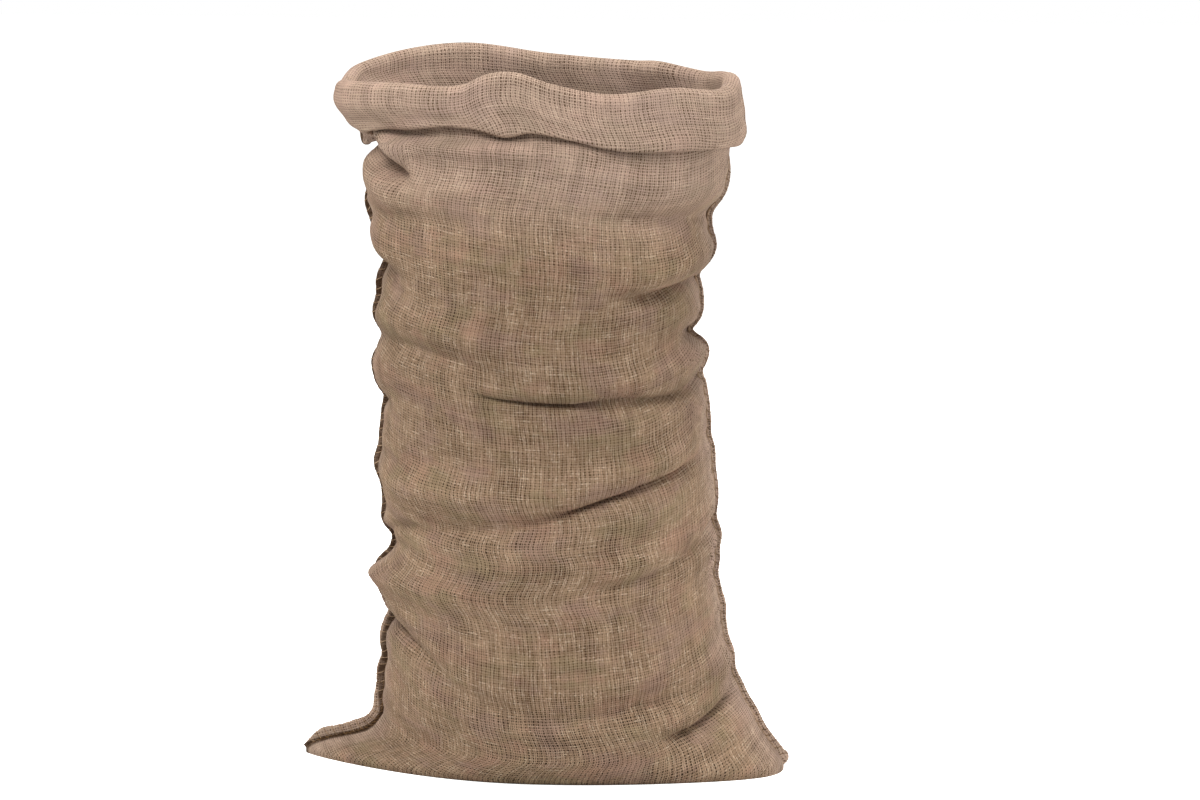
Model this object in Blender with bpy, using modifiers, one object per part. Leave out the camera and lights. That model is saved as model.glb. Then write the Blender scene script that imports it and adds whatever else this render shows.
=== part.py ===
"""A hessian sack that stands open, its mouth rolled outwards into a cuff.

Metres, +Z up. X runs along the bottom fold, from the left ear to the right ear, and -Y is
the front. The cloth is one sheet, folded at the bottom and oversewn up both sides, so it is
built as one loft of sections that starts on the bottom fold, goes out over the floor, up the
wall, over the rim, down the cuff and back up inside it.
"""

import math
from collections import namedtuple

import bmesh
import bpy
import numpy as np

# ---- Driving dimensions ---------------------------------------------------------------
SACK_WIDTH = 0.500      # the flat sack, from seam to seam
CLOTH = 0.002           # thickness of the hessian
TIP = 0.0085            # half thickness of the section where front and back meet
FOLD_INSET = 0.004      # the bottom fold ends this far inside each ear
FLOOR_ROWS = 2          # rows of cloth from the bottom fold to the foot of the wall

WALL_FEET = (0.0, 0.003, 0.008, 0.013, 0.018, 0.025, 0.036, 0.050, 0.066, 0.082)
WALL_TOP = 0.607        # above this the rows follow the rim
WALL_PITCH = 0.0150     # spacing of the rows from the feet to WALL_TOP
RISE_ROWS = 6           # rows from WALL_TOP to the roll
ROLL_TURNS = 5          # points around the roll at the rim
DROP_ROWS = 3           # rows down the outside of the cuff
HEM_RADIUS = 0.003      # inside radius of the cuff's lower fold
HEM_TURNS = 4           # points around that fold
HEM_STAND = 0.0045      # the layer inside the cuff stands this far off the wall
TUCK = 0.030            # cloth turned back up inside the cuff
CUFF_BELLY = 0.004      # the cuff swells this much between its edges
CORNER_HANG = 0.25      # at the left seam the cuff hangs this share of the way between its roll and the wall
CORNER_REACH = 0.035    # and this far along the cloth to each side

SEAM_STEPS = (0.005, 0.012, 0.024)   # extra columns beside each side seam
COLUMN_PITCH = 0.0270                # columns across the panels
# An oversewn seam stands out by the first width near the floor and by the second higher up.
FIN_WIDTHS = {-1: (0.0100, 0.0066), 1: (0.0062, 0.0048)}
FIN_NARROWS = (0.170, 0.240)         # the heights between which it changes
FIN_TIP = 0.030         # along the left ear it narrows over this length, towards the tip
KNOT = 0.009            # the right seam ends in a knot of this half length
FIN_THICK = 0.0046      # two selvedges under the yarn
FIN_TAPER = 0.030       # it narrows over this length at its top
FIN_END = 0.35          # to this share of its width
FIN_GAP = 0.0012        # clear of the cloth it is sewn to
FIN_FOOT = 0.006        # the seam starts this high on its ear
FIN_TOP = 0.627         # and ends close under the cuff

# ---- The wall: one row for each section --------------------------------------------------
# height; reach to the left, right, front and back; how pointed the section is at each side;
# how far the left and the right seam lean to the front
Section = namedtuple("Section", "height left right front back point_left point_right lean_left lean_right")
SECTIONS = [
    Section(0.000, 0.2530, 0.2485, 0.124, 0.116, 1.82, 1.06, 0.016, 0.033),
    Section(0.006, 0.2525, 0.2485, 0.131, 0.124, 1.85, 1.06, 0.016, 0.030),
    Section(0.012, 0.2420, 0.2460, 0.136, 0.128, 1.90, 1.10, 0.016, 0.025),
    Section(0.018, 0.2230, 0.2390, 0.139, 0.130, 1.90, 1.16, 0.018, 0.019),
    Section(0.024, 0.1960, 0.2330, 0.140, 0.132, 1.80, 1.36, 0.018, 0.012),
    Section(0.036, 0.1765, 0.2230, 0.141, 0.134, 1.40, 1.36, 0.012, 0.006),
    Section(0.060, 0.1725, 0.2060, 0.142, 0.136, 1.20, 1.34, 0.004, 0.000),
    Section(0.090, 0.1690, 0.1950, 0.144, 0.139, 1.10, 1.22, 0.000, 0.000),
    Section(0.140, 0.1600, 0.1810, 0.146, 0.142, 1.00, 1.10, 0.000, 0.000),
    Section(0.168, 0.1620, 0.1765, 0.146, 0.143, 1.00, 1.05, 0.000, 0.000),
    Section(0.198, 0.1790, 0.1725, 0.146, 0.144, 1.00, 1.00, 0.000, 0.000),
    Section(0.214, 0.1655, 0.1730, 0.146, 0.144, 1.00, 1.00, 0.000, 0.000),
    Section(0.230, 0.1600, 0.1745, 0.147, 0.145, 1.00, 1.00, 0.000, 0.000),
    Section(0.247, 0.1700, 0.1735, 0.147, 0.145, 1.00, 1.00, 0.000, 0.000),
    Section(0.270, 0.1620, 0.1725, 0.147, 0.145, 1.00, 1.00, 0.000, 0.000),
    Section(0.302, 0.1740, 0.1710, 0.147, 0.145, 1.00, 1.00, 0.000, 0.000),
    Section(0.326, 0.1700, 0.1690, 0.146, 0.144, 1.00, 1.00, 0.000, 0.000),
    Section(0.350, 0.1650, 0.1645, 0.146, 0.144, 1.00, 1.00, 0.000, 0.000),
    Section(0.385, 0.1680, 0.1615, 0.146, 0.144, 1.00, 1.00, 0.000, 0.000),
    Section(0.436, 0.1750, 0.1555, 0.146, 0.144, 1.00, 1.00, 0.000, 0.000),
    Section(0.458, 0.1730, 0.1520, 0.145, 0.144, 1.00, 1.00, 0.000, 0.000),
    Section(0.488, 0.1650, 0.1530, 0.145, 0.144, 1.00, 1.00, 0.000, 0.000),
    Section(0.520, 0.1690, 0.1610, 0.144, 0.143, 1.00, 1.00, 0.000, 0.000),
    Section(0.550, 0.1740, 0.1640, 0.142, 0.142, 1.00, 1.00, 0.000, 0.000),
    Section(0.580, 0.1840, 0.1710, 0.140, 0.140, 1.00, 1.00, 0.000, 0.000),
    Section(0.620, 0.1805, 0.1840, 0.137, 0.136, 1.00, 1.00, 0.000, 0.000),
    Section(0.648, 0.1755, 0.1880, 0.133, 0.131, 1.00, 1.00, 0.000, 0.000),
    Section(0.675, 0.1820, 0.1850, 0.122, 0.123, 1.00, 1.00, 0.000, 0.000),
    Section(0.705, 0.2050, 0.1810, 0.113, 0.116, 1.00, 1.00, 0.000, 0.000),
]

# ---- The folds: one row for each crease of the wall ---------------------------------------
# Each crosses the cloth between two distances from the middle of the front (the seams are at
# -0.25 and 0.25, the middle of the back at 0.5), at a height given for its start, its middle
# and its end. A negative depth makes a ridge.
Fold = namedtuple("Fold", "start end height_start height_middle height_end depth width")
FOLDS = [
    # front, from the cuff down
    Fold(-0.205, 0.050, 0.650, 0.649, 0.646, -0.009, 0.011),
    Fold(-0.264, -0.122, 0.652, 0.639, 0.602, 0.018, 0.011),
    Fold(-0.270, -0.010, 0.577, 0.573, 0.568, 0.008, 0.016),
    Fold(0.050, 0.300, 0.577, 0.575, 0.573, 0.010, 0.015),
    Fold(-0.340, -0.130, 0.528, 0.524, 0.502, 0.011, 0.013),
    Fold(0.068, 0.292, 0.496, 0.505, 0.518, 0.013, 0.013),
    Fold(0.185, 0.320, 0.456, 0.452, 0.446, 0.009, 0.011),
    Fold(-0.300, 0.030, 0.435, 0.444, 0.410, 0.010, 0.015),
    Fold(-0.080, 0.300, 0.405, 0.394, 0.418, 0.013, 0.012),
    Fold(-0.330, -0.170, 0.378, 0.381, 0.376, 0.008, 0.013),
    Fold(-0.250, -0.030, 0.312, 0.326, 0.330, 0.004, 0.013),
    Fold(-0.040, 0.236, 0.262, 0.304, 0.331, 0.012, 0.013),
    Fold(-0.300, 0.070, 0.228, 0.2565, 0.278, 0.010, 0.017),
    Fold(0.020, 0.290, 0.195, 0.226, 0.275, 0.007, 0.011),
    Fold(-0.340, -0.140, 0.192, 0.195, 0.204, -0.004, 0.011),
    Fold(-0.300, -0.080, 0.142, 0.148, 0.090, 0.009, 0.012),
    Fold(-0.180, 0.200, 0.150, 0.072, 0.140, 0.005, 0.015),
    Fold(0.060, 0.270, 0.080, 0.087, 0.094, 0.007, 0.013),
    Fold(0.085, 0.262, 0.038, 0.0605, 0.090, 0.011, 0.013),
    Fold(-0.210, -0.110, 0.036, 0.033, 0.026, 0.003, 0.011),
    # back, from the cuff down
    Fold(0.300, 0.460, 0.612, 0.594, 0.586, 0.008, 0.012),
    Fold(0.500, 0.700, 0.590, 0.604, 0.600, 0.007, 0.013),
    Fold(0.340, 0.580, 0.520, 0.536, 0.530, 0.009, 0.012),
    Fold(0.560, 0.740, 0.468, 0.482, 0.476, 0.008, 0.011),
    Fold(0.280, 0.530, 0.438, 0.420, 0.424, 0.011, 0.012),
    Fold(0.470, 0.700, 0.372, 0.350, 0.356, 0.010, 0.012),
    Fold(0.290, 0.480, 0.312, 0.328, 0.322, 0.008, 0.012),
    Fold(0.440, 0.700, 0.238, 0.262, 0.256, 0.010, 0.012),
    Fold(0.300, 0.510, 0.188, 0.170, 0.172, 0.009, 0.012),
    Fold(0.520, 0.690, 0.116, 0.136, 0.132, 0.007, 0.013),
    Fold(0.320, 0.490, 0.086, 0.070, 0.076, 0.006, 0.012),
]
# Places where a seam is drawn into the sack and the cloth beside it swells past it: the seam's
# distance along the cloth, the height, the half height and the depth.
Tuck = namedtuple("Tuck", "seam height half depth")
TUCKS = [
    Tuck(-0.250, 0.198, 0.018, 0.0110),
    Tuck(-0.250, 0.437, 0.018, 0.0100),
    Tuck(-0.250, 0.556, 0.010, 0.0080),
    Tuck(-0.250, 0.627, 0.013, 0.0090),
]
TUCK_REACH = 0.010      # half width of a tuck, along the cloth
RIDGE_ABOVE = 0.60      # the cloth swells over a fold by this share of its depth
RIDGE_BELOW = 0.30      # and under it by this share
FOLD_FADE = (0.012, 0.036)       # folds grow from nothing between these heights
CUFF_FADE = (0.648, 0.672)       # and die away between these, under the cuff

# ---- The rim: one row for each place around the mouth --------------------------------------
# along the cloth; height of the rim; height of the cuff's lower edge; width of the roll;
# sway of the wall outwards
Rim = namedtuple("Rim", "along height hem roll sway")
RIMS = [
    Rim(-0.250, 0.702, 0.637, 0.016, 0.002),
    Rim(-0.236, 0.704, 0.641, 0.017, 0.001),
    Rim(-0.218, 0.705, 0.650, 0.017, 0.000),
    Rim(-0.180, 0.707, 0.660, 0.016, 0.000),
    Rim(-0.130, 0.709, 0.664, 0.016, 0.000),
    Rim(-0.080, 0.708, 0.669, 0.016, 0.000),
    Rim(-0.055, 0.711, 0.667, 0.016, 0.000),
    Rim(-0.030, 0.722, 0.660, 0.016, 0.004),
    Rim(-0.008, 0.724, 0.665, 0.016, 0.004),
    Rim(0.030, 0.712, 0.660, 0.016, 0.000),
    Rim(0.075, 0.702, 0.649, 0.017, -0.003),
    Rim(0.150, 0.706, 0.645, 0.016, 0.000),
    Rim(0.215, 0.702, 0.643, 0.016, 0.002),
    Rim(0.250, 0.710, 0.641, 0.015, 0.000),
    Rim(0.300, 0.710, 0.647, 0.015, 0.002),
    Rim(0.335, 0.707, 0.650, 0.016, 0.006),
    Rim(0.375, 0.716, 0.652, 0.016, -0.012),
    Rim(0.410, 0.714, 0.654, 0.016, 0.006),
    Rim(0.500, 0.720, 0.662, 0.017, 0.000),
    Rim(0.590, 0.731, 0.666, 0.017, 0.002),
    Rim(0.650, 0.726, 0.662, 0.016, 0.000),
    Rim(0.705, 0.714, 0.646, 0.016, 0.000),
]

JUTE = (0.33, 0.225, 0.145, 1.0)      # linear colour of the cloth
YARN = (0.115, 0.068, 0.036, 1.0)     # and of the seam yarn


# ---- Curves through the tables ---------------------------------------------------------------
def smooth(at, places, values):
    """Values at any place, on a cubic through a table whose slope is the mean of its neighbours'."""
    places, values = np.asarray(places, float), np.asarray(values, float)
    slopes = np.gradient(values, places)
    at = np.clip(at, places[0], places[-1])
    i = np.clip(np.searchsorted(places, at, side="right") - 1, 0, len(places) - 2)
    span = places[i + 1] - places[i]
    t = (at - places[i]) / span
    return ((2 * t**3 - 3 * t**2 + 1) * values[i] + (t**3 - 2 * t**2 + t) * span * slopes[i]
            + (3 * t**2 - 2 * t**3) * values[i + 1] + (t**3 - t**2) * span * slopes[i + 1])


def smooth_loop(at, places, values, turn):
    """The same around a closed loop of length turn."""
    places = np.concatenate([np.asarray(places) + shift for shift in (-turn, 0, turn)])
    first = places[len(values)]
    return smooth((np.asarray(at) - first) % turn + first, places, list(values) * 3)


def ramp(value, limits):
    """0 below the limits, 1 above them and a smooth step between."""
    t = np.clip((value - limits[0]) / (limits[1] - limits[0]), 0, 1)
    return t * t * (3 - 2 * t)


# ---- The cloth -------------------------------------------------------------------------------
def columns():
    """Distance of each column from the left seam, around the front and then the back."""
    first, last = SEAM_STEPS[-1], SACK_WIDTH - SEAM_STEPS[-1]
    count = round((last - first) / COLUMN_PITCH)
    beside = [0.0, *SEAM_STEPS[:-1]]
    panel = np.concatenate([beside, np.linspace(first, last, count + 1),
                            SACK_WIDTH - np.array(beside[:0:-1])])
    return np.concatenate([panel, panel + SACK_WIDTH])


def section(height, around):
    """The wall's outline at one height: points spaced evenly as the cloth is, and outward normals."""
    row = {name: float(smooth(height, [s.height for s in SECTIONS], [getattr(s, name) for s in SECTIONS]))
           for name in Section._fields}
    middle, half = (row["right"] - row["left"]) / 2, (row["right"] + row["left"]) / 2
    points = np.empty((len(around), 2))
    for first, reach, side in ((0.0, row["front"], -1), (SACK_WIDTH, row["back"], 1)):
        angle = np.linspace(-math.pi / 2, math.pi / 2, 721) * -side
        x, level = np.sin(angle), np.abs(np.cos(angle))
        point = np.where(x < 0, row["point_left"], row["point_right"])
        curve = np.stack([middle + half * x, side * ((reach - TIP) * level**point + TIP * level**0.5)], axis=1)
        length = np.concatenate([[0], np.cumsum(np.linalg.norm(np.diff(curve, axis=0), axis=1))])
        here = (around >= first) & (around < first + SACK_WIDTH)
        at = (around[here] - first) / SACK_WIDTH * length[-1]
        points[here] = np.stack([np.interp(at, length, curve[:, k]) for k in (0, 1)], axis=1)
    share = (points[:, 0] - middle) / half
    points[:, 1] -= np.where(share < 0, row["lean_left"], row["lean_right"]) * share**4
    along = np.roll(points, -1, axis=0) - np.roll(points, 1, axis=0)
    normals = np.stack([along[:, 1], -along[:, 0]], axis=1)
    return np.hstack([points, normals / np.linalg.norm(normals, axis=1, keepdims=True)])


def fold_push(around, height):
    """How far the folds and tucks push the wall outwards at each column and height."""
    along = around - SACK_WIDTH / 2
    push = np.zeros(len(around))
    for fold in FOLDS:
        middle = (fold.start + fold.end) / 2
        there = (along - middle + SACK_WIDTH) % (2 * SACK_WIDTH) - SACK_WIDTH + middle
        share = (there - fold.start) / (fold.end - fold.start)
        lift = 4 * share * (1 - share)
        straight = (fold.height_start + fold.height_end) / 2
        line = (fold.height_start * (1 - share) + fold.height_end * share
                + lift * (fold.height_middle - straight))
        above = (height - line) / fold.width
        window = ramp(share, (0.0, 0.32)) * ramp(1 - share, (0.0, 0.32))
        profile = (-np.exp(-above**2) + RIDGE_ABOVE * np.exp(-((above - 1.9) / 1.2) ** 2)
                   + RIDGE_BELOW * np.exp(-((above + 2.2) / 1.5) ** 2))
        push += fold.depth * window * profile
    for tuck in TUCKS:
        away = (along - tuck.seam + SACK_WIDTH) % (2 * SACK_WIDTH) - SACK_WIDTH
        push -= tuck.depth * np.exp(-(away / TUCK_REACH) ** 2 - ((height - tuck.height) / tuck.half) ** 2)
    return push * ramp(height, FOLD_FADE) * (1 - ramp(height, CUFF_FADE))


def cloth_rows():
    """Every row of the cloth's outer face, from the bottom fold to the edge tucked inside the cuff."""
    around = columns()
    along = around - SACK_WIDTH / 2
    levels = np.unique(np.concatenate([np.linspace(0, 0.06, 25), np.linspace(0.06, 0.75, 70)]))
    outlines = np.array([section(level, around) for level in levels])

    def wall(height):
        """One row of the wall and its outward normals, at one height or a height for each column."""
        height = np.broadcast_to(height, around.shape)
        at = np.array([[np.interp(height[i], levels, outlines[:, i, k]) for k in range(4)]
                       for i in range(len(around))])
        row = np.column_stack([at[:, :2] + at[:, 2:] * fold_push(around, height)[:, None], height])
        return row, at[:, 2:]

    foot, _ = wall(0.0)
    share = np.minimum(around, 2 * SACK_WIDTH - around) / SACK_WIDTH
    fold = np.zeros_like(foot)
    fold[:, 0] = foot[0, 0] + FOLD_INSET + share * (foot[:, 0].max() - foot[0, 0] - 2 * FOLD_INSET)
    ear = fold[:, 0] / SACK_WIDTH * 2
    fold[:, 1] = -np.where(ear < 0, SECTIONS[0].lean_left, SECTIONS[0].lean_right) * ear**4
    rows = [fold + (foot - fold) * k / FLOOR_ROWS for k in range(FLOOR_ROWS)]

    steps = round((WALL_TOP - WALL_FEET[-1]) / WALL_PITCH)
    for height in [*WALL_FEET, *np.linspace(WALL_FEET[-1], WALL_TOP, steps + 1)[1:]]:
        rows.append(wall(height)[0])

    rim, hem, roll, sway = (smooth_loop(along, [r.along for r in RIMS], [getattr(r, name) for r in RIMS],
                                        2 * SACK_WIDTH) for name in Rim._fields[1:])
    shoulder = rim - roll / 2
    for k in range(1, RISE_ROWS + 1):
        row, outward = wall(WALL_TOP + (shoulder - WALL_TOP) * k / RISE_ROWS)
        row[:, :2] += outward * (sway * (k / RISE_ROWS) ** 2)[:, None]
        rows.append(row)
    top = rows[-1]

    def cuff_row(out, height):
        """A row this far outside the wall, which follows the wall's top at the roll and the wall itself below."""
        below, _ = wall(np.minimum(height, shoulder))
        away = (along + SACK_WIDTH / 2 + SACK_WIDTH) % (2 * SACK_WIDTH) - SACK_WIDTH
        corner = 1 - CORNER_HANG * np.exp(-((away / CORNER_REACH) ** 2))
        lean = (ramp(shoulder - height, (0.0, 0.045)) * corner)[:, None]
        return np.column_stack([top[:, :2] * (1 - lean) + below[:, :2] * lean + outward * out[:, None], height])

    for angle in np.linspace(math.pi, 0, ROLL_TURNS)[1:]:
        rows.append(cuff_row(roll / 2 * (1 + math.cos(angle)), shoulder + roll / 2 * math.sin(angle)))
    turn = hem + CLOTH + HEM_RADIUS
    for k in range(1, DROP_ROWS + 1):
        share = k / DROP_ROWS
        out = roll + (2 * HEM_RADIUS + HEM_STAND - roll) * share + CUFF_BELLY * math.sin(math.pi * share)
        rows.append(cuff_row(out, shoulder + (turn - shoulder) * share))
    inner = np.full(len(around), HEM_STAND)
    for angle in np.linspace(0, -math.pi, HEM_TURNS)[1:]:
        rows.append(cuff_row(inner + HEM_RADIUS * (1 + math.cos(angle)), turn + HEM_RADIUS * math.sin(angle)))
    rows.append(cuff_row(inner, turn + TUCK))
    return np.array(rows)


def make_cloth(rows, material, collection):
    """The loft of the rows, welded along the bottom fold and given its thickness inwards."""
    count = rows.shape[1]
    mesh = bpy.data.meshes.new("sack_cloth")
    shell = bmesh.new()
    grid = [[shell.verts.new(point) for point in row] for row in rows]
    for lower, upper in zip(grid, grid[1:]):
        for i in range(count):
            j = (i + 1) % count
            shell.faces.new((lower[i], lower[j], upper[j], upper[i]))
    bmesh.ops.remove_doubles(shell, verts=grid[0], dist=0.0001)
    shell.to_mesh(mesh)
    shell.free()
    mesh.shade_smooth()
    mesh.materials.append(material)
    cloth = bpy.data.objects.new("sack_cloth", mesh)
    collection.objects.link(cloth)
    wall = cloth.modifiers.new("cloth thickness", "SOLIDIFY")
    wall.thickness = CLOTH
    wall.offset = -1
    return cloth


# ---- The oversewn side seams -------------------------------------------------------------------
def fin_rings(edge, side):
    """Rings of a fin that follows one edge of the cloth. side is -1 at the left, 1 at the right."""
    line = edge[(edge[:, 2] > FIN_FOOT) & (edge[:, 2] < FIN_TOP)]
    slope = np.gradient(line, axis=0)
    out = np.stack([np.abs(slope[:, 2]) * side, 0 * slope[:, 1], -slope[:, 0] * side], axis=1)
    out /= np.linalg.norm(out, axis=1, keepdims=True)
    low, high = FIN_WIDTHS[side]
    width = low + (high - low) * ramp(line[:, 2], FIN_NARROWS)
    width *= FIN_END + (1 - FIN_END) * ramp(FIN_TOP - line[:, 2], (0, FIN_TAPER))
    from_foot = np.concatenate([[0], np.cumsum(np.linalg.norm(np.diff(line, axis=0), axis=1))])
    if side < 0:
        thick = 0.55 + 0.45 * ramp(from_foot, (0, FIN_TIP))
        width *= 0.40 + 0.60 * ramp(from_foot, (0, FIN_TIP))
    else:
        thick = 1 + 0.8 * np.exp(-(from_foot / KNOT) ** 2)
        width *= thick
    half = FIN_THICK / 2
    profile = [(0.0, -half * 0.7), (0.25, -half), (0.85, -half), (1.0, -half * 0.45),
               (1.0, half * 0.45), (0.85, half), (0.25, half), (0.0, half * 0.7)][::side]
    return np.array([[point + away * (FIN_GAP + reach * wide) + [0, y * fat, 0] for reach, y in profile]
                     for point, away, wide, fat in zip(line, out, width, thick)])


def make_seam(name, rings, material, collection):
    """The solid of a fin."""
    fin = bmesh.new()
    grid = [[fin.verts.new(point) for point in ring] for ring in rings]
    count = rings.shape[1]
    for lower, upper in zip(grid, grid[1:]):
        for i in range(count):
            fin.faces.new((lower[i], lower[(i + 1) % count], upper[(i + 1) % count], upper[i]))
    fin.faces.new(grid[0][::-1])
    fin.faces.new(grid[-1])
    mesh = bpy.data.meshes.new(name)
    fin.to_mesh(mesh)
    fin.free()
    mesh.shade_smooth()
    mesh.materials.append(material)
    seam = bpy.data.objects.new(name, mesh)
    collection.objects.link(seam)
    return seam


def make_material(name, colour, roughness):
    material = bpy.data.materials.new(name)
    material.use_nodes = True
    shader = material.node_tree.nodes["Principled BSDF"]
    shader.inputs["Base Color"].default_value = colour
    shader.inputs["Roughness"].default_value = roughness
    shader.inputs["Metallic"].default_value = 0.0
    return material


def main():
    for obj in list(bpy.data.objects):
        bpy.data.objects.remove(obj)
    collection = bpy.data.collections.new("hessian sack")
    bpy.context.scene.collection.children.link(collection)
    jute = make_material("jute hessian", JUTE, 0.95)
    yarn = make_material("seam yarn", YARN, 0.9)

    rows = cloth_rows()
    left, right = fin_rings(rows[:, 0], -1), fin_rings(rows[:, rows.shape[1] // 2], 1)
    points = np.concatenate([piece.reshape(-1, 3) for piece in (rows, left, right)])
    middle = (points.min(axis=0) + points.max(axis=0)) / 2 * [1, 1, 0]
    make_cloth(rows - middle, jute, collection)
    make_seam("left_seam", left - middle, yarn, collection)
    make_seam("right_seam", right - middle, yarn, collection)


main()
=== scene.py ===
# A hessian sack that stands open: one sheet of jute hessian folded at the bottom, oversewn up both
# sides and turned outwards over a roll at the mouth, its edge turned back up inside the cuff.
# Metres, +Z up, -Y is the front.

import math

import bpy
import numpy as np
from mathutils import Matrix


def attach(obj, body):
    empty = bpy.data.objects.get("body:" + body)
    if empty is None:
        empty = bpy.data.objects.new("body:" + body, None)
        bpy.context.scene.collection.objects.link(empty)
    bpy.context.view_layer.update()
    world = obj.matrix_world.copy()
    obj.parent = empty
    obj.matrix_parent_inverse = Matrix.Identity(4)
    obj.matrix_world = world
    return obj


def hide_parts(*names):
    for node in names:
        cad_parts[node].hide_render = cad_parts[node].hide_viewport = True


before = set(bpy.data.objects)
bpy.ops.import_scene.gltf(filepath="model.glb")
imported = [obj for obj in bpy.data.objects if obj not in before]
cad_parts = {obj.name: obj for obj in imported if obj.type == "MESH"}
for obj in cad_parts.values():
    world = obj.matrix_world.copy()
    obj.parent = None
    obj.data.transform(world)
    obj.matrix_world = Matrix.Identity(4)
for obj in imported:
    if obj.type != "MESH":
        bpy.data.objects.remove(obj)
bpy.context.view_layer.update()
print("frame loaded:", len(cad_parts), "nodes")


sack = {
    "width": 0.500,              # the flat sack, from seam to seam
    "thickness": 0.0018,         # of the hessian
    "edge": 0.0085,              # half thickness of the outline where front and back meet
    "foldInset": 0.004,          # the bottom fold ends this far inside each ear
    "standsAt": (-0.00266, 0.00178),   # brings the middle of the footprint to the origin
    "columnPitch": 0.0049,       # spacing of the mesh around the sack
    "besideSeam": (0.002, 0.0045, 0.008, 0.0125),   # finer columns at each seam
    "floorRows": 14,
    "feetTop": 0.036,
    "feetRows": 17,
    "wallTop": 0.607,            # above this the rows follow the rim
    "wallRows": 126,
    "crowding": 2.2,             # the rows stand this much closer at a fold 10 mm deep
    "riseRows": 20,
    "rollRows": 10,
    "dropRows": 14,
    "hemRows": 7,
    "tuckRows": 6,
    "hemRadius": 0.003,          # inside radius of the cuff's lower fold
    "hemStand": 0.0045,          # the layer inside the cuff stands this far off the wall
    "tuck": 0.030,               # cloth turned back up inside the cuff
    "cuffBelly": 0.004,          # the cuff swells this much between its edges
    "cornerHang": 0.25,          # at the left seam it hangs this share of the way from the wall to the roll
    "cornerReach": 0.035,        # and this far along the cloth to each side
}

# reach of the outline at each height, how pointed it is at each side, and how far each seam leans
# to the front
sectionNames = ("height", "left", "right", "front", "back",
                "pointLeft", "pointRight", "leanLeft", "leanRight")
sections = np.array([
    (0.000, 0.2530, 0.2485, 0.124, 0.116, 1.82, 1.06, 0.016, 0.033),
    (0.006, 0.2525, 0.2485, 0.131, 0.124, 1.85, 1.06, 0.016, 0.030),
    (0.012, 0.2420, 0.2460, 0.136, 0.128, 1.90, 1.10, 0.016, 0.025),
    (0.018, 0.2230, 0.2390, 0.139, 0.130, 1.90, 1.16, 0.018, 0.019),
    (0.024, 0.1960, 0.2330, 0.140, 0.132, 1.80, 1.36, 0.018, 0.012),
    (0.036, 0.1765, 0.2230, 0.141, 0.134, 1.40, 1.36, 0.012, 0.006),
    (0.060, 0.1725, 0.2060, 0.142, 0.136, 1.20, 1.34, 0.004, 0.000),
    (0.090, 0.1690, 0.1950, 0.144, 0.139, 1.10, 1.22, 0.000, 0.000),
    (0.140, 0.1600, 0.1810, 0.146, 0.142, 1.00, 1.10, 0.000, 0.000),
    (0.168, 0.1620, 0.1765, 0.146, 0.143, 1.00, 1.05, 0.000, 0.000),
    (0.198, 0.1790, 0.1725, 0.146, 0.144, 1, 1, 0, 0),
    (0.214, 0.1655, 0.1730, 0.146, 0.144, 1, 1, 0, 0),
    (0.230, 0.1600, 0.1745, 0.147, 0.145, 1, 1, 0, 0),
    (0.247, 0.1700, 0.1735, 0.147, 0.145, 1, 1, 0, 0),
    (0.270, 0.1620, 0.1725, 0.147, 0.145, 1, 1, 0, 0),
    (0.302, 0.1740, 0.1710, 0.147, 0.145, 1, 1, 0, 0),
    (0.326, 0.1700, 0.1690, 0.146, 0.144, 1, 1, 0, 0),
    (0.350, 0.1650, 0.1645, 0.146, 0.144, 1, 1, 0, 0),
    (0.385, 0.1680, 0.1615, 0.146, 0.144, 1, 1, 0, 0),
    (0.436, 0.1750, 0.1555, 0.146, 0.144, 1, 1, 0, 0),
    (0.458, 0.1730, 0.1520, 0.145, 0.144, 1, 1, 0, 0),
    (0.488, 0.1650, 0.1530, 0.145, 0.144, 1, 1, 0, 0),
    (0.520, 0.1690, 0.1610, 0.144, 0.143, 1, 1, 0, 0),
    (0.550, 0.1740, 0.1640, 0.142, 0.142, 1, 1, 0, 0),
    (0.580, 0.1840, 0.1710, 0.140, 0.140, 1, 1, 0, 0),
    (0.620, 0.1805, 0.1840, 0.137, 0.136, 1, 1, 0, 0),
    (0.648, 0.1755, 0.1880, 0.133, 0.131, 1, 1, 0, 0),
    (0.675, 0.1820, 0.1850, 0.122, 0.123, 1, 1, 0, 0),
    (0.705, 0.2050, 0.1810, 0.113, 0.116, 1, 1, 0, 0),
])

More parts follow.
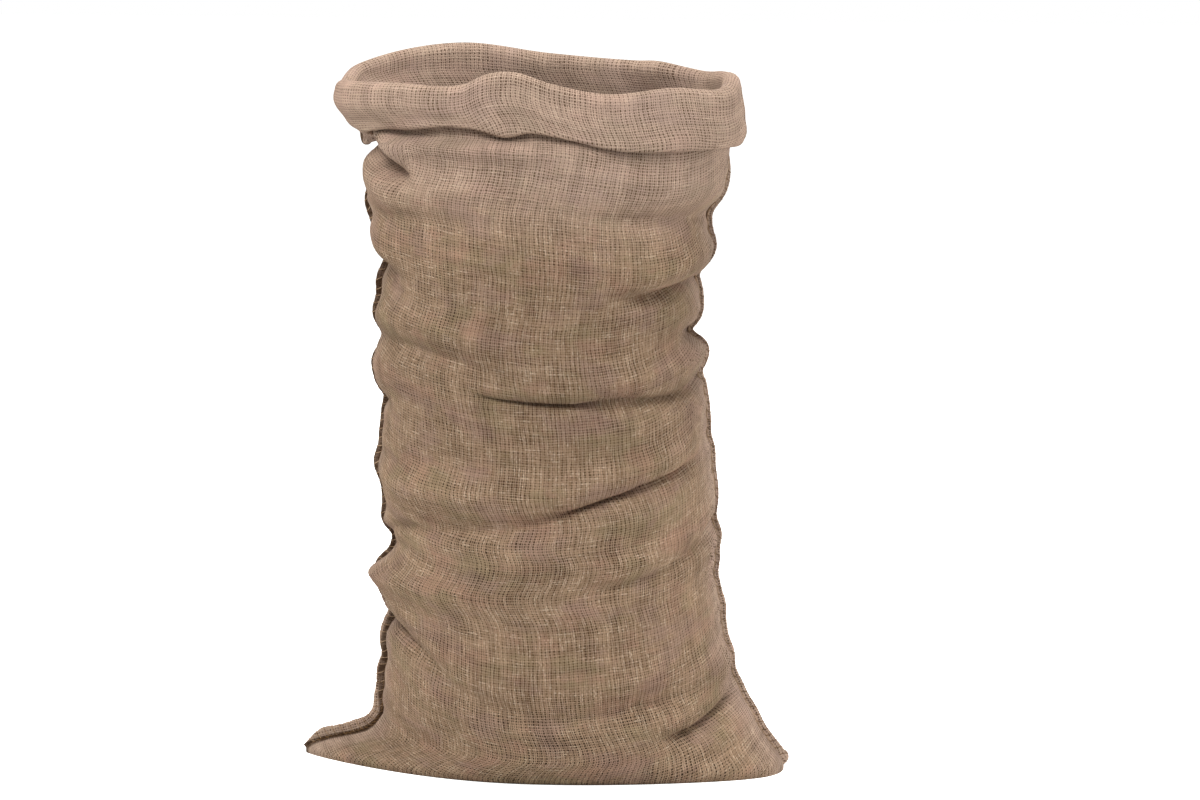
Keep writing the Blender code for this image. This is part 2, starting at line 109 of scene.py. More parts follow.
# each fold crosses the cloth between two distances from the middle of the front (seams at -0.25 and 0.25,
# middle of the back at 0.5), at a height for its start, middle and end; then its depth, its half width
# and how far the cloth above it hangs down over it
folds = [
    # front, from the cuff down
    (-0.205, 0.050, 0.650, 0.649, 0.646, -0.0095, 0.011, 0),
    (-0.215, 0.060, 0.660, 0.662, 0.656, 0.0120, 0.0070, 0),
    (-0.264, -0.122, 0.652, 0.639, 0.602, 0.0260, 0.0105, 0.007),
    (-0.270, -0.010, 0.577, 0.573, 0.568, 0.0080, 0.015, 0.001),
    (0.050, 0.300, 0.577, 0.575, 0.573, 0.0110, 0.014, 0.001),
    (-0.340, -0.130, 0.528, 0.524, 0.502, 0.0110, 0.013, 0.002),
    (0.068, 0.292, 0.496, 0.505, 0.518, 0.0150, 0.012, 0.004),
    (0.085, 0.262, 0.504, 0.5075, 0.521, 0.0045, 0.0050, 0.002),
    (0.185, 0.320, 0.456, 0.452, 0.446, 0.0100, 0.010, 0.002),
    (-0.300, 0.030, 0.435, 0.444, 0.410, 0.0100, 0.014, 0.002),
    (-0.080, 0.300, 0.405, 0.394, 0.418, 0.0105, 0.0120, 0.003),
    (-0.075, 0.085, 0.407, 0.3985, 0.399, 0.0055, 0.0046, 0.003),
    (0.035, 0.150, 0.395, 0.4030, 0.3985, 0.0055, 0.0046, 0.003),
    (0.100, 0.300, 0.400, 0.3985, 0.424, 0.0045, 0.0050, 0.003),
    (0.110, 0.320, 0.408, 0.432, 0.446, -0.0030, 0.010, 0),
    (-0.330, -0.170, 0.378, 0.381, 0.376, 0.0080, 0.013, 0.002),
    (-0.250, -0.030, 0.312, 0.326, 0.330, 0.0045, 0.012, 0),
    (-0.040, 0.236, 0.262, 0.304, 0.331, 0.0120, 0.011, 0.004),
    (0.020, 0.120, 0.283, 0.296, 0.312, 0.0045, 0.0055, 0.003),
    (0.070, 0.200, 0.300, 0.317, 0.326, 0.0040, 0.0046, 0.003),
    (-0.300, 0.070, 0.228, 0.2565, 0.278, 0.0100, 0.017, 0.002),
    (-0.250, -0.120, 0.236, 0.254, 0.264, 0.0045, 0.0055, 0.001),
    (0.020, 0.290, 0.195, 0.226, 0.275, 0.0070, 0.010, 0.001),
    (-0.340, -0.140, 0.192, 0.195, 0.204, -0.0040, 0.011, 0),
    (-0.300, -0.080, 0.142, 0.148, 0.090, 0.0085, 0.0110, 0.003),
    (-0.275, -0.135, 0.150, 0.151, 0.122, 0.0045, 0.0050, 0.002),
    (-0.180, 0.200, 0.150, 0.072, 0.140, 0.0055, 0.014, 0.001),
    (0.060, 0.270, 0.080, 0.087, 0.094, 0.0080, 0.012, 0.001),
    (0.085, 0.262, 0.038, 0.0605, 0.090, 0.0120, 0.012, 0.004),
    (0.100, 0.250, 0.044, 0.0615, 0.085, 0.0055, 0.0048, 0.003),
    (-0.210, -0.110, 0.036, 0.033, 0.026, 0.0030, 0.011, 0),
    # back, from the cuff down
    (0.300, 0.460, 0.612, 0.594, 0.586, 0.0080, 0.012, 0.002),
    (0.500, 0.700, 0.590, 0.604, 0.600, 0.0070, 0.013, 0.002),
    (0.340, 0.580, 0.520, 0.536, 0.530, 0.0090, 0.012, 0.002),
    (0.560, 0.740, 0.468, 0.482, 0.476, 0.0080, 0.011, 0.002),
    (0.280, 0.530, 0.438, 0.420, 0.424, 0.0120, 0.010, 0.005),
    (0.330, 0.480, 0.432, 0.421, 0.422, 0.0050, 0.0050, 0.003),
    (0.470, 0.700, 0.372, 0.350, 0.356, 0.0100, 0.011, 0.004),
    (0.290, 0.480, 0.312, 0.328, 0.322, 0.0080, 0.012, 0.002),
    (0.440, 0.700, 0.238, 0.262, 0.256, 0.0110, 0.011, 0.003),
    (0.500, 0.640, 0.252, 0.261, 0.258, 0.0050, 0.0050, 0.003),
    (0.300, 0.510, 0.188, 0.170, 0.172, 0.0090, 0.012, 0.002),
    (0.520, 0.690, 0.116, 0.136, 0.132, 0.0070, 0.013, 0.001),
    (0.320, 0.490, 0.086, 0.070, 0.076, 0.0060, 0.012, 0.001),
]

# places where a seam is drawn in and the cloth beside it swells past it: distance of the seam along
# the cloth, height, half height and depth
tucks = [
    (-0.250, 0.198, 0.018, 0.0110),
    (-0.250, 0.437, 0.018, 0.0100),
    (-0.250, 0.556, 0.010, 0.0080),
    (-0.250, 0.627, 0.013, 0.0090),
]
tuckReach = 0.010            # half width of a tuck, along the cloth

# along the cloth; height of the rim; height of the cuff's lower edge; width of the roll; sway of the
# wall outwards
rims = np.array([
    (-0.250, 0.702, 0.637, 0.016, 0.002),
    (-0.236, 0.704, 0.641, 0.017, 0.001),
    (-0.218, 0.705, 0.650, 0.017, 0),
    (-0.180, 0.707, 0.660, 0.016, 0),
    (-0.130, 0.709, 0.664, 0.016, 0),
    (-0.080, 0.708, 0.669, 0.016, 0),
    (-0.055, 0.711, 0.667, 0.016, 0),
    (-0.030, 0.722, 0.660, 0.016, 0.004),
    (-0.008, 0.724, 0.665, 0.016, 0.004),
    (0.030, 0.712, 0.660, 0.016, 0),
    (0.075, 0.702, 0.649, 0.017, -0.003),
    (0.150, 0.706, 0.645, 0.016, 0),
    (0.215, 0.702, 0.643, 0.016, 0.002),
    (0.250, 0.710, 0.641, 0.015, 0),
    (0.300, 0.710, 0.647, 0.015, 0.002),
    (0.335, 0.707, 0.650, 0.016, 0.006),
    (0.375, 0.716, 0.652, 0.016, -0.012),
    (0.410, 0.714, 0.654, 0.016, 0.006),
    (0.500, 0.720, 0.662, 0.017, 0),
    (0.590, 0.731, 0.666, 0.017, 0.002),
    (0.650, 0.726, 0.662, 0.016, 0),
    (0.705, 0.714, 0.646, 0.016, 0),
])

# creases of the cuff, as the folds above but with the height measured from the rim, so it is negative
cuffFolds = [
    (-0.215, -0.060, -0.030, -0.034, -0.030, 0.0025, 0.009, 0.000),
    (0.020, 0.200, -0.036, -0.042, -0.038, 0.0015, 0.009, 0.000),
    (0.180, 0.290, -0.020, -0.026, -0.034, 0.0020, 0.009, 0.000),
    (0.330, 0.480, -0.024, -0.034, -0.030, 0.0020, 0.010, 0.000),
    (0.520, 0.690, -0.030, -0.026, -0.036, 0.0025, 0.010, 0.000),
]

loose = {
    "seed": 11,
    "creases": 90,               # small creases of the cloth between its folds
    "creaseDepth": (0.0006, 0.0022),
    "creaseWidth": (0.0045, 0.0085),
    "creaseLength": (0.040, 0.110),
    "creaseSlope": 0.22,
    "lumps": 46,                 # where the sack has been pushed out by what it held
    "lumpHeight": (0.0008, 0.0028),
    "lumpRadius": (0.028, 0.042),
    "waves": 26,                 # long shallow waves, so that nothing is quite regular
    "waveHeight": 0.0020,
    "pucker": 0.0010,            # the seams draw the cloth beside them into short ripples
    "puckerPitch": 0.027,
    "puckerReach": 0.030,
}


def smoothThrough(at, places, values):
    # a cubic between neighbours, whose slope at each is the mean slope of the two sides
    slopes = np.gradient(values, places)
    at = np.clip(at, places[0], places[-1])
    i = np.clip(np.searchsorted(places, at, side="right") - 1, 0, len(places) - 2)
    span = places[i + 1] - places[i]
    t = (at - places[i]) / span
    return ((2 * t**3 - 3 * t**2 + 1) * values[i] + (t**3 - 2 * t**2 + t) * span * slopes[i]
            + (3 * t**2 - 2 * t**3) * values[i + 1] + (t**3 - t**2) * span * slopes[i + 1])


def smoothRound(at, places, values, turn):
    # the same around a closed loop of length turn
    first = places[0]
    places = np.concatenate([places + shift for shift in (-turn, 0, turn)])
    return smoothThrough((at - first) % turn + first, places, np.tile(values, 3))


def ramp(value, low, high):
    # 0 below low, 1 above high, and 3t^2 - 2t^3 between them
    t = np.clip((value - low) / (high - low), 0, 1)
    return t * t * (3 - 2 * t)


def columnPlaces():
    # distance of each column from the left seam, round the front and then the back
    width, beside = sack["width"], np.array((0.0,) + sack["besideSeam"])
    count = round((width - 2 * beside[-1]) / sack["columnPitch"])
    panel = np.concatenate([beside[:-1], np.linspace(beside[-1], width - beside[-1], count + 1),
                            width - beside[-2:0:-1]])
    return np.concatenate([panel, panel + width])


def outline(height, around):
    # x = middle + half*sin(a), y = reach*cos(a)^point with a blunt edge added, walked at even lengths;
    # the seams lean forward by lean*share^4; the last two numbers of each point are its outward normal
    row = {name: float(smoothThrough(height, sections[:, 0], sections[:, k]))
           for k, name in enumerate(sectionNames)}
    middle, half = (row["right"] - row["left"]) / 2, (row["right"] + row["left"]) / 2
    points, width, edge = np.empty((len(around), 2)), sack["width"], sack["edge"]
    for first, reach, side in ((0.0, row["front"], -1), (width, row["back"], 1)):
        angle = np.linspace(math.pi / 2, -math.pi / 2, 721) * side
        x, level = np.sin(angle), np.abs(np.cos(angle))
        point = np.where(x < 0, row["pointLeft"], row["pointRight"])
        bulge = side * ((reach - edge) * level**point + edge * level**0.5)
        curve = np.stack([middle + half * x, bulge], axis=1)
        length = np.concatenate([[0], np.cumsum(np.linalg.norm(np.diff(curve, axis=0), axis=1))])
        here = (around >= first) & (around < first + width)
        at = (around[here] - first) / width * length[-1]
        points[here] = np.stack([np.interp(at, length, curve[:, k]) for k in (0, 1)], axis=1)
    share = (points[:, 0] - middle) / half
    points[:, 1] -= np.where(share < 0, row["leanLeft"], row["leanRight"]) * share**4
    along = np.roll(points, -1, axis=0) - np.roll(points, 1, axis=0)
    normals = np.stack([along[:, 1], -along[:, 0]], axis=1)
    return np.hstack([points, normals / np.linalg.norm(normals, axis=1, keepdims=True)])


def crossing(fold, along):
    # the height at which a fold crosses each column, and how much of the fold is there, 0 to 1
    start, end, lineStart, lineMiddle, lineEnd = fold[:5]
    middle = (start + end) / 2
    wrapped = (along - middle + sack["width"]) % (2 * sack["width"]) - sack["width"] + middle
    share = (wrapped - start) / (end - start)
    sag = lineMiddle - (lineStart + lineEnd) / 2
    line = lineStart * (1 - share) + lineEnd * share + 4 * share * (1 - share) * sag
    return line, ramp(share, 0, 0.32) * ramp(1 - share, 0, 0.32)


def foldField(table, along, height):
    # each fold is a groove -exp(-|t|^1.5) with a high ridge over it and a low one under it, where t is the
    # height above the fold's line in half widths; the second result is how far the cloth hangs down
    push, hang = np.zeros(height.shape), np.zeros(height.shape)
    for fold in table:
        line, there = crossing(fold, along)
        depth, width, lip = fold[5:]
        t = (height - line) / width
        push += depth * there * (-np.exp(-np.abs(t) ** 1.5) + 0.60 * np.exp(-((t - 1.9) / 1.2) ** 2)
                                 + 0.30 * np.exp(-((t + 2.2) / 1.5) ** 2))
        hang += lip * there * np.exp(-((t - 0.9) / 0.9) ** 2)
    return push, hang


def tuckField(along, height):
    # -depth * exp(-(distance from the seam)^2 - (height above the middle)^2), both in half widths
    push = np.zeros(height.shape)
    for place, level, half, depth in tucks:
        away = (along - place + sack["width"]) % (2 * sack["width"]) - sack["width"]
        push -= depth * np.exp(-(away / tuckReach) ** 2 - ((height - level) / half) ** 2)
    return push


def looseTable(rng):
    # small creases at random places, most of them near the seams and nearly level
    rows = []
    for _ in range(loose["creases"]):
        seam = rng.choice([-0.25, 0.25])
        start = seam + rng.normal(0, 0.10)
        length = rng.uniform(*loose["creaseLength"])
        height = rng.uniform(0.04, 0.64)
        rise = rng.normal(0, loose["creaseSlope"]) * length
        rows.append((start - length / 2, start + length / 2, height - rise / 2, height + rng.normal(0, 0.004),
                     height + rise / 2, rng.uniform(*loose["creaseDepth"]),
                     rng.uniform(*loose["creaseWidth"]), 0.0005))
    return rows


def looseField(rng, along, height):
    # lumps exp(-d^2), long waves sin(2 pi (m*along + n*height) + phase), and ripples beside the seams
    field = np.zeros(height.shape)
    for _ in range(loose["lumps"]):
        place, level = rng.uniform(-0.25, 0.75), rng.uniform(0.05, 0.60)
        radius, high = rng.uniform(*loose["lumpRadius"]), rng.uniform(*loose["lumpHeight"])
        away = (along - place + sack["width"]) % (2 * sack["width"]) - sack["width"]
        field += high * np.exp(-(away**2 + (height - level) ** 2) / radius**2)
    for _ in range(loose["waves"]):
        across = rng.integers(1, 9)
        up = rng.uniform(6, 22) * rng.choice([-1, 1])
        phase = rng.uniform(0, 2 * math.pi)
        wave = np.sin(2 * math.pi * (across * along + up * height) + phase)
        field += loose["waveHeight"] / (abs(up) + 2) * wave
    toSeam = sack["width"] / 2 - np.abs((along - sack["width"] / 2) % sack["width"] - sack["width"] / 2)
    phase = 1.3 * np.sin(2 * math.pi * height / 0.19 + 3 * along) + 5 * along
    ripple = np.sin(2 * math.pi * height / loose["puckerPitch"] + phase)
    return field + loose["pucker"] * ripple * np.exp(-toSeam / loose["puckerReach"])


def sackRows():
    # rows of the cloth's outer face, from the bottom fold to the edge tucked inside the cuff
    rng = np.random.default_rng(loose["seed"])
    around = columnPlaces()
    along = around - sack["width"] / 2
    levels = np.linspace(0, 0.76, 381)
    outlines = np.array([outline(level, around) for level in levels])
    small = looseTable(rng)
    waveSeed = rng.integers(1 << 30)
    each = np.arange(len(around))

    def wallAt(height):
        # the wall's points and outward normals at a height for each row and column
        height = np.atleast_2d(height) * np.ones((1, len(around)))
        at = np.clip(height / levels[1], 0, len(levels) - 1.001)
        low = at.astype(int)
        part = (at - low)[..., None]
        base = outlines[low, each] * (1 - part) + outlines[low + 1, each] * part
        push, hang = foldField(folds, along, height)
        smallPush, smallHang = foldField(small, along, height)
        fade = ramp(height, 0.012, 0.036) * (1 - ramp(height, 0.648, 0.672))
        looseFade = ramp(height, 0.014, 0.060) * (1 - ramp(height, 0.70, 0.76))
        push = (push + smallPush + tuckField(along, height)) * fade
        push += looseField(np.random.default_rng(waveSeed), along, height) * looseFade
        hang = (hang + smallHang) * fade
        points = np.dstack([base[..., :2] + base[..., 2:] * push[..., None], height - hang])
        return points, base[..., 2:]

    foot, _ = wallAt(np.array([[0.0]]))
    foot = foot[0]
    share = np.minimum(around, 2 * sack["width"] - around) / sack["width"]
    inset = sack["foldInset"]
    crease = np.zeros_like(foot)
    crease[:, 0] = foot[0, 0] + inset + share * (foot[:, 0].max() - foot[0, 0] - 2 * inset)
    ear = crease[:, 0] / sack["width"] * 2
    crease[:, 1] = -np.where(ear < 0, sections[0, 7], sections[0, 8]) * ear**4
    rows = [crease + (foot - crease) * k / sack["floorRows"] for k in range(sack["floorRows"])]

    feet = sack["feetTop"] * np.linspace(0, 1, sack["feetRows"]) ** 1.5
    points, _ = wallAt(feet[:, None])
    rows += list(points)
    # the wall's rows crowd together where a column crosses a fold
    fine = np.linspace(sack["feetTop"], sack["wallTop"], 900)
    dense = np.ones((len(fine), len(around)))
    for fold in folds:
        line, there = crossing(fold, along)
        near = np.exp(-((fine[:, None] - line - 0.3 * fold[6]) / (1.3 * fold[6])) ** 2)
        dense += sack["crowding"] * min(abs(fold[5]) / 0.010, 1.2) * there * near
    walked = np.vstack([np.zeros(len(around)), np.cumsum(dense[1:] + dense[:-1], axis=0)])
    evenly = np.linspace(0, 1, sack["wallRows"] + 1)[1:]
    wall = np.array([np.interp(evenly, walked[:, k] / walked[-1, k], fine) for k in each]).T
    points, _ = wallAt(wall)
    rows += list(points)

    rim, hem, roll, sway = (smoothRound(along, rims[:, 0], rims[:, k], 2 * sack["width"])
                            for k in range(1, 5))
    shoulder = rim - roll / 2
    part = np.linspace(0, 1, sack["riseRows"] + 1)[1:, None]
    points, outward = wallAt(sack["wallTop"] + (shoulder - sack["wallTop"]) * part)
    points[..., :2] += outward * (sway * part**2)[..., None]
    rows += list(points)
    top, topOut = points[-1], outward[-1]

    def cuffAt(out, height):
        # points this far outside the wall: outside its top at the roll, and outside the wall itself
        # lower down
        below, _ = wallAt(np.minimum(height, shoulder))
        away = (along + 1.5 * sack["width"]) % (2 * sack["width"]) - sack["width"]
        corner = 1 - sack["cornerHang"] * np.exp(-(away / sack["cornerReach"]) ** 2)
        lean = (ramp(shoulder - height, 0.0, 0.045) * corner)[..., None]
        flat = top[:, :2] * (1 - lean) + below[..., :2] * lean + topOut * out[..., None]
        return np.dstack([flat, height])

    radius, stand = sack["hemRadius"], sack["hemStand"]
    angle = np.linspace(math.pi, 0, sack["rollRows"] + 1)[1:, None]
    out = roll / 2 * (1 + np.cos(angle))
    rows += list(cuffAt(out, shoulder + roll / 2 * np.sin(angle)))
    turn = hem + 0.002 + radius
    part = np.linspace(0, 1, sack["dropRows"] + 1)[1:, None]
    height = shoulder + (turn - shoulder) * part
    crease, _ = foldField(cuffFolds, along, height - rim)
    crease += looseField(np.random.default_rng(waveSeed + 1), along, height)
    toSeam = np.minimum(around % sack["width"], -around % sack["width"])
    groove = 0.0022 * np.exp(-(toSeam / 0.0030) ** 2)
    out = (roll + (2 * radius + stand - roll) * part + sack["cuffBelly"] * np.sin(math.pi * part)
           + (crease - groove) * np.sin(math.pi * part) ** 0.5)
    rows += list(cuffAt(out, height))
    angle = np.linspace(0, -math.pi, sack["hemRows"] + 1)[1:, None]
    rows += list(cuffAt(stand + radius * (1 + np.cos(angle)) + 0 * turn, turn + radius * np.sin(angle)))
    part = np.linspace(0, 1, sack["tuckRows"] + 1)[1:, None]
    rows += list(cuffAt(stand + 0 * part + 0 * turn, turn + sack["tuck"] * part))
    return np.array(rows) + np.array([*sack["standsAt"], 0.0]), around


def newObject(name, points, faces, uv=None, material=None):
    # puts points and faces into a mesh; uv holds one pair for each corner of each face
    mesh = bpy.data.meshes.new(name)
    mesh.from_pydata(np.asarray(points, dtype=float).reshape(-1, 3), [], faces)
    if uv is not None:
        layer = mesh.uv_layers.new(name="cloth")
        layer.data.foreach_set("uv", np.asarray(uv, dtype=np.float32).ravel())
    mesh.shade_smooth()
    if material:
        mesh.materials.append(material)
    piece = bpy.data.objects.new(name, mesh)
    bpy.context.scene.collection.objects.link(piece)
    return piece


def ringFaces(rows, columns):
    # quads between neighbouring rows of a loft whose columns close on themselves
    i, j = np.meshgrid(np.arange(rows - 1), np.arange(columns), indexing="ij")
    k = (j + 1) % columns
    return np.stack([i * columns + j, i * columns + k, (i + 1) * columns + k, (i + 1) * columns + j],
                    axis=-1).reshape(-1, 4)


def evened(values, around):
    # each column's value replaced by a mean over the columns near it, weighted exp(-(distance/85 mm)^2)
    away = (around[:, None] - around + sack["width"]) % (2 * sack["width"]) - sack["width"]
    weight = np.exp(-(away / 0.085) ** 2) * np.gradient(around)
    return values @ (weight / weight.sum(axis=1, keepdims=True)).T


def levelled(lengths, heights, around):
    # the lengths up the columns, evened on the wall between points at the same height, so that the weft
    # runs level past small folds; on the cuff they start alike at the crest of the roll, and follow the rim
    first = sack["floorRows"] + 3
    last = sack["floorRows"] + sack["feetRows"] + sack["wallRows"]
    crest = last + sack["riseRows"] + sack["rollRows"] // 2
    levels = np.linspace(heights[first].min(), heights[last].max(), 400)
    table = np.array([np.interp(levels, heights[first:last + 1, k], lengths[first:last + 1, k])
                      for k in range(len(around))]).T
    table = evened(table, around)
    out = lengths.copy()
    for k in range(len(around)):
        shift = np.interp(heights[first:last + 1, k], levels, table[:, k]) - lengths[first:last + 1, k]
        shift *= ramp(np.arange(last - first + 1), 0, 14)
        out[first:last + 1, k] += shift
        onCuff = lengths[crest].mean() - lengths[crest, k]
        toCrest = ramp(np.arange(last + 1, len(lengths)), last, crest)
        out[last + 1:, k] += shift[-1] + (onCuff - shift[-1]) * toCrest
    return out


def buildCloth(material):
    points, around = sackRows()
    rows, columns = points.shape[:2]
    faces = ringFaces(rows, columns)
    # uv in metres: u runs round the cloth; v is the length walked up each column, scaled so that all
    # come to about the same length, as the threads of one cloth do
    step = np.linalg.norm(np.diff(points, axis=0), axis=2)
    walked = np.vstack([np.zeros(columns), np.cumsum(step, axis=0)])
    smooth = walked / evened(walked[-1], around) * walked[-1].mean()
    smooth = levelled(smooth, points[:, :, 2], around)
    u = np.append(around, 2 * sack["width"])
    i, j = np.meshgrid(np.arange(rows - 1), np.arange(columns), indexing="ij")
    k = (j + 1) % columns
    corner = np.stack([
        np.stack([u[j], smooth[i, j]], -1), np.stack([u[j + 1], smooth[i, k]], -1),
        np.stack([u[j + 1], smooth[i + 1, k]], -1), np.stack([u[j], smooth[i + 1, j]], -1)], axis=2)
    cloth = newObject("sack", points, faces, corner.reshape(-1, 2), material)
    weld = cloth.modifiers.new("bottom fold", "WELD")
    weld.merge_threshold = 0.00005
    wall = cloth.modifiers.new("hessian thickness", "SOLIDIFY")
    wall.thickness = sack["thickness"]
    wall.offset = -1
    print("cloth:", rows, "x", columns, "points, mean length up the warp", round(float(walked[-1].mean()), 3))
    return cloth, points


seam = {
    "foot": 0.004,               # lowest point of the seam
    "top": 0.634,                # it runs up under the cuff
    "slims": {-1: (0.565, 0.595), 1: (0.600, 0.634)},   # between these heights it turns in
    "root": -0.0015,             # the rolled selvedges start this far inside the cloth's edge
    "width": {-1: (0.0108, 0.0070), 1: (0.0062, 0.0050)},   # reach, near the floor and higher up
    "slimBy": 0.6,               # and loses this share of its width
    "narrows": (0.165, 0.240),   # the heights between which the width changes
    "step": 0.0012,              # spacing of the rings along it
    "smoothing": 13,             # its path is evened over this many steps to each side
    "thickness": 0.0042,
    "turn": {-1: 0.12, 1: 0.45},        # the seam lies over to the back by this share of its width
    "sway": 0.0012,              # it waves to the front and back by this much
    "tip": 0.030,                # along the left ear it narrows over this length, towards the tip
    "flap": (0.068, 0.026, 0.30),   # and widens round this place, over this length, by this share
    "knot": 0.0094,              # the right seam ends in a knot of this radius
    "knotSink": 0.0055,          # it starts this much further inside the cloth's edge than the seam
    "knotReach": 0.0085,         # and stands out at least this far
    "stitch": 0.0090,            # pitch of the oversewing
    "yarn": 0.00048,             # radius of the sewing yarn
    "chainStrand": {-1: 0.00085, 1: 0.00050},   # radius of each strand of the chain stitch along the root
    "chainPitch": 0.0095,
}


def tubeFaces(rings, sides, flip=False):
    # quads round a tube, and one face at each end
    faces = ringFaces(rings, sides)
    faces = faces[:, ::-1].tolist() if flip else faces.tolist()
    ends = [list(range(sides))[::-1], list(range((rings - 1) * sides, rings * sides))]
    return faces + ([end[::-1] for end in ends] if flip else ends)


def edgePath(points, column, side):
    # one edge of the cloth at even steps, with the direction that points away from the cloth
    first = sack["floorRows"]
    last = first + sack["feetRows"] + sack["wallRows"] + sack["riseRows"]
    line = points[first:last, column]
    line = line[(line[:, 2] >= seam["foot"]) & (line[:, 2] <= seam["top"])]
    length = np.concatenate([[0], np.cumsum(np.linalg.norm(np.diff(line, axis=0), axis=1))])
    at = np.arange(0, length[-1], seam["step"])
    path = np.stack([np.interp(at, length, line[:, k]) for k in range(3)], axis=1)
    near = seam["smoothing"]
    kernel = np.hanning(2 * near + 1) / np.hanning(2 * near + 1).sum()
    padded = np.pad(path, ((near, near), (0, 0)), mode="reflect", reflect_type="odd")
    path = np.stack([np.convolve(padded[:, k], kernel, mode="valid") for k in range(3)], axis=1)
    slope = np.gradient(path, axis=0)
    slope /= np.linalg.norm(slope, axis=1, keepdims=True)
    rise = np.abs(slope[:, 2])
    out = np.stack([rise * side, seam["turn"][side] * rise, -slope[:, 0] * side], axis=1)
    out /= np.linalg.norm(out, axis=1, keepdims=True)
    across = np.cross(slope, out) * side
    # the seam's own width and sway along its length
    rng = np.random.default_rng(31 + side)
    wide, sway, root = np.ones(len(at)), np.zeros(len(at)), np.full(len(at), seam["root"])
    for wave, amount in ((0.21, 0.10), (0.093, 0.07), (0.041, 0.04)):
        wide += amount * np.sin(2 * math.pi * at / wave + rng.uniform(0, 6.3))
        sway += amount / 0.1 * seam["sway"] * np.sin(2 * math.pi * at / wave / 1.2 + rng.uniform(0, 6.3))
    low, high = seam["width"][side]
    wide *= low + (high - low) * ramp(path[:, 2], *seam["narrows"])
    wide *= 1 - seam["slimBy"] * ramp(path[:, 2], *seam["slims"][side])
    if side < 0:
        thick = 0.50 + 0.50 * ramp(at, 0, seam["tip"])
        wide *= 0.35 + 0.65 * ramp(at, 0, seam["tip"])
        place, length, more = seam["flap"]
        wide *= 1 + more * np.exp(-((at - place) / length) ** 2)
    else:
        # a ball, sqrt(1 - (1 - at/radius)^2), that runs out into the band
        ball = np.sqrt(np.clip(1 - (1 - at / seam["knot"]) ** 2, 0.02, 1))
        ball *= 1 - ramp(at, seam["knot"], 2.6 * seam["knot"])
        thick = np.maximum(0.82 * ramp(at, 0, seam["knot"]), 1.75 * ball)
        root = root - seam["knotSink"] * ball
        wide = np.maximum(wide * ramp(at, 0, 0.004), seam["knotReach"] * ball)
    return {"at": at, "path": path, "slope": slope, "out": out, "across": across, "root": root, "wide": wide,
            "thick": thick, "sway": sway}


def onSeam(edge, place, reach, lift):
    # points at a length along the seam, a share of its width out and a share of its half thickness across
    take = lambda field: np.stack([np.interp(place, edge["at"], field[:, k]) for k in range(3)], axis=-1)
    wide, thick, sway, root = (np.interp(place, edge["at"], edge[name])
                               for name in ("wide", "thick", "sway", "root"))
    out = root + reach * (wide - root)
    across = lift * thick * seam["thickness"] / 2 + sway * np.clip(reach, 0, 2) ** 2
    return take(edge["path"]) + take(edge["out"]) * out[..., None] + take(edge["across"]) * across[..., None]


def buildSelvedge(name, edge, material):
    # the two selvedges rolled together: a flat band with a round edge, puffed between the stitches
    half = [(0.0, 0.75), (0.18, 0.95), (0.42, 1.0), (0.66, 0.98), (0.84, 0.82), (0.96, 0.45)]
    profile = np.array([(x, -y) for x, y in half] + [(1.0, 0.0)] + half[::-1])
    at = edge["at"]
    puff = 1 - 0.12 * np.abs(np.cos(math.pi * at / seam["stitch"])) ** 3
    ring = onSeam(edge, np.repeat(at[:, None], len(profile), axis=1),
                  profile[None, :, 0] * (1 - 0.25 * (1 - puff[:, None])), profile[None, :, 1] * puff[:, None])
    faces = tubeFaces(len(ring), len(profile), flip=True)
    # uv in metres: out from the root, and along the seam
    outward = profile[:, 0] * edge["wide"][:, None]
    outward = np.hstack([outward, np.zeros((len(at), 1))]) + 0.0010
    i, j = np.meshgrid(np.arange(len(ring) - 1), np.arange(len(profile)), indexing="ij")
    quad = np.stack([np.stack([outward[i, j], at[i]], -1), np.stack([outward[i, j + 1], at[i]], -1),
                     np.stack([outward[i + 1, j + 1], at[i + 1]], -1),
                     np.stack([outward[i + 1, j], at[i + 1]], -1)],
                    axis=2)[:, :, ::-1]
    uv = np.concatenate([quad.reshape(-1, 2), np.zeros((2 * len(profile), 2))])
    return newObject(name, ring, faces, uv, material)


def sweep(centre, radius, sides, guide):
    # rings of a round yarn along a line of points
    forward = np.gradient(centre, axis=0)
    forward /= np.linalg.norm(forward, axis=1, keepdims=True)
    first = np.cross(forward, guide)
    first /= np.linalg.norm(first, axis=1, keepdims=True)
    second = np.cross(forward, first)
    angle = np.linspace(0, 2 * math.pi, sides + 1)[:-1]
    radius = np.broadcast_to(radius, len(centre))[:, None, None]
    rim = np.cos(angle)[None, :, None] * first[:, None] + np.sin(angle)[None, :, None] * second[:, None]
    return centre[:, None] + radius * rim


